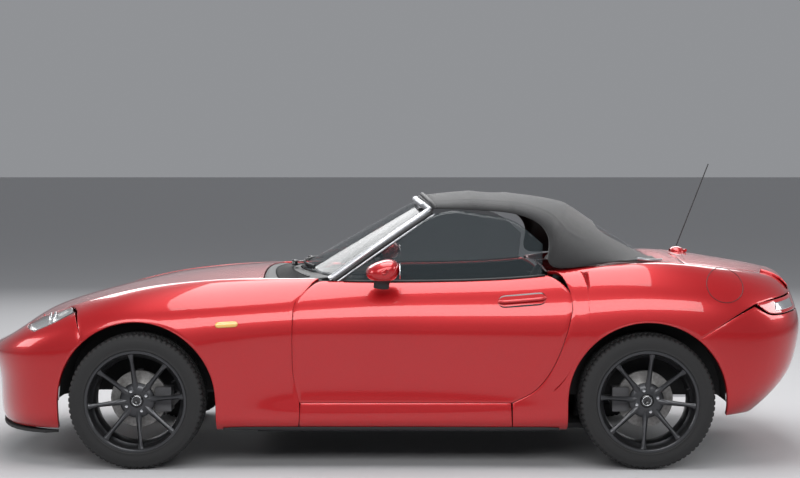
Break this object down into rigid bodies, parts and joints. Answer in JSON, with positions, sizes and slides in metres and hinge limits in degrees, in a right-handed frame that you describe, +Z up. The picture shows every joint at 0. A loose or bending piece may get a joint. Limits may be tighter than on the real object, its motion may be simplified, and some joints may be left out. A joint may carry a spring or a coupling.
{
  "type": "two-seat soft-top roadster car",
  "caption": "Low open two-seater with a raised cloth top, long bonnet, swinging doors, lifting bonnet and boot lid, steered front wheels and free-spinning spoked wheels.",
  "frame": {"origin": "on the floor under the middle of the car's box", "axes": "-X towards the nose, +X towards the tail, +Z up; the car's left side is -Y"},
  "size_m": [3.9098, 1.97, 1.3863],
  "materials": {
    "paint": "deep metallic red under clear coat",
    "chassis_black": "satin black underbody coating",
    "black_plastic": "grained black plastic",
    "frame_grey": "satin grey windscreen frame",
    "tinted_glass": "lightly tinted glass",
    "roof_cloth": "black woven soft top cloth",
    "lamp_clear": "clear lamp lens",
    "lamp_red": "red lamp lens",
    "cast_metal": "bare casting",
    "seat_leather": "black leather",
    "wheel_leather": "black leather",
    "satin_black": "satin black",
    "exhaust_steel": "brushed steel",
    "tyre": "black rubber",
    "gunmetal_rim": "dark gunmetal satin"
  },
  "bodies": {
    "body": {"floor_pan": "chassis_black", "front_bumper": "paint", "front_grille": "black_plastic", "front_lip": "black_plastic", "front_wing_left": "paint", "front_wing_right": "paint", "rear_quarter_left": "paint", "rear_quarter_right": "paint", "rear_bumper": "paint", "rear_deck": "paint", "rear_diffuser": "black_plastic", "side_sills": "paint", "cowl": "black_plastic", "windscreen_frame": "frame_grey", "windscreen_glass": "tinted_glass", "soft_top": "roof_cloth", "rear_window": "tinted_glass", "headlamps": "lamp_clear", "tail_lamps": "lamp_red", "engine": "cast_metal", "seats": "seat_leather", "dashboard": "black_plastic", "roll_hoops": "satin_black", "front_subframe": "chassis_black", "rear_subframe": "chassis_black", "exhaust": "exhaust_steel", "aerial": "satin_black"},
    "door_left": {"door_left": "paint", "door_window_left": "tinted_glass", "mirror_left": "paint"},
    "knuckle_front_left": {"knuckle_front_left": "cast_metal"},
    "wheel_front_left": {"tyre_front_left": "tyre", "wheel_front_left": "gunmetal_rim"},
    "wheel_rear_left": {"tyre_rear_left": "tyre", "wheel_rear_left": "gunmetal_rim"},
    "door_right": {"door_right": "paint", "door_window_right": "tinted_glass", "mirror_right": "paint"},
    "knuckle_front_right": {"knuckle_front_right": "cast_metal"},
    "wheel_front_right": {"tyre_front_right": "tyre", "wheel_front_right": "gunmetal_rim"},
    "wheel_rear_right": {"tyre_rear_right": "tyre", "wheel_rear_right": "gunmetal_rim"},
    "bonnet": {"bonnet": "paint"},
    "boot_lid": {"boot_lid": "paint"},
    "steering_wheel": {"steering_wheel": "wheel_leather"}
  },
  "joints": [
    {"name": "steer_left", "type": "hinge", "parent": "body", "child": "knuckle_front_left", "pos_m": [-1.1625, -0.69, 0.308], "axis": [0, 0, 1], "range_deg": [-33, 33]},
    {"name": "steer_right", "type": "hinge", "parent": "body", "child": "knuckle_front_right", "pos_m": [-1.1625, 0.69, 0.308], "axis": [0, 0, 1], "range_deg": [-33, 33]},
    {"name": "spin_front_left", "type": "hinge", "parent": "knuckle_front_left", "child": "wheel_front_left", "pos_m": [-1.1625, -0.7475, 0.308], "axis": [0, 1, 0], "continuous": true},
    {"name": "spin_rear_left", "type": "hinge", "parent": "body", "child": "wheel_rear_left", "pos_m": [1.1475, -0.7525, 0.308], "axis": [0, 1, 0], "continuous": true},
    {"name": "spin_front_right", "type": "hinge", "parent": "knuckle_front_right", "child": "wheel_front_right", "pos_m": [-1.1625, 0.7475, 0.308], "axis": [0, 1, 0], "continuous": true},
    {"name": "spin_rear_right", "type": "hinge", "parent": "body", "child": "wheel_rear_right", "pos_m": [1.1475, 0.7525, 0.308], "axis": [0, 1, 0], "continuous": true},
    {"name": "steering_turn", "type": "hinge", "parent": "body", "child": "steering_wheel", "pos_m": [-0.055, -0.345, 0.77], "axis": [0.9272, 0, 0.3746], "range_deg": [-500, 500]},
    {"name": "door_swing_left", "type": "hinge", "parent": "body", "child": "door_left", "pos_m": [-0.53, -0.819, 0.55], "axis": [0, 0, -1], "range_deg": [0, 62]},
    {"name": "door_swing_right", "type": "hinge", "parent": "body", "child": "door_right", "pos_m": [-0.53, 0.819, 0.55], "axis": [0, 0, 1], "range_deg": [0, 62]},
    {"name": "bonnet_lift", "type": "hinge", "parent": "body", "child": "bonnet", "pos_m": [-0.592, 0, 0.85], "axis": [0, 1, 0], "range_deg": [0, 55]},
    {"name": "boot_lift", "type": "hinge", "parent": "body", "child": "boot_lid", "pos_m": [1.372, 0, 0.906], "axis": [0, -1, 0], "range_deg": [0, 70]}
  ],
  "couplings": [
    {"joint": "steer_right", "follows": "steer_left", "ratio": 1},
    {"joint": "steering_turn", "follows": "steer_left", "ratio": 15}
  ]
}
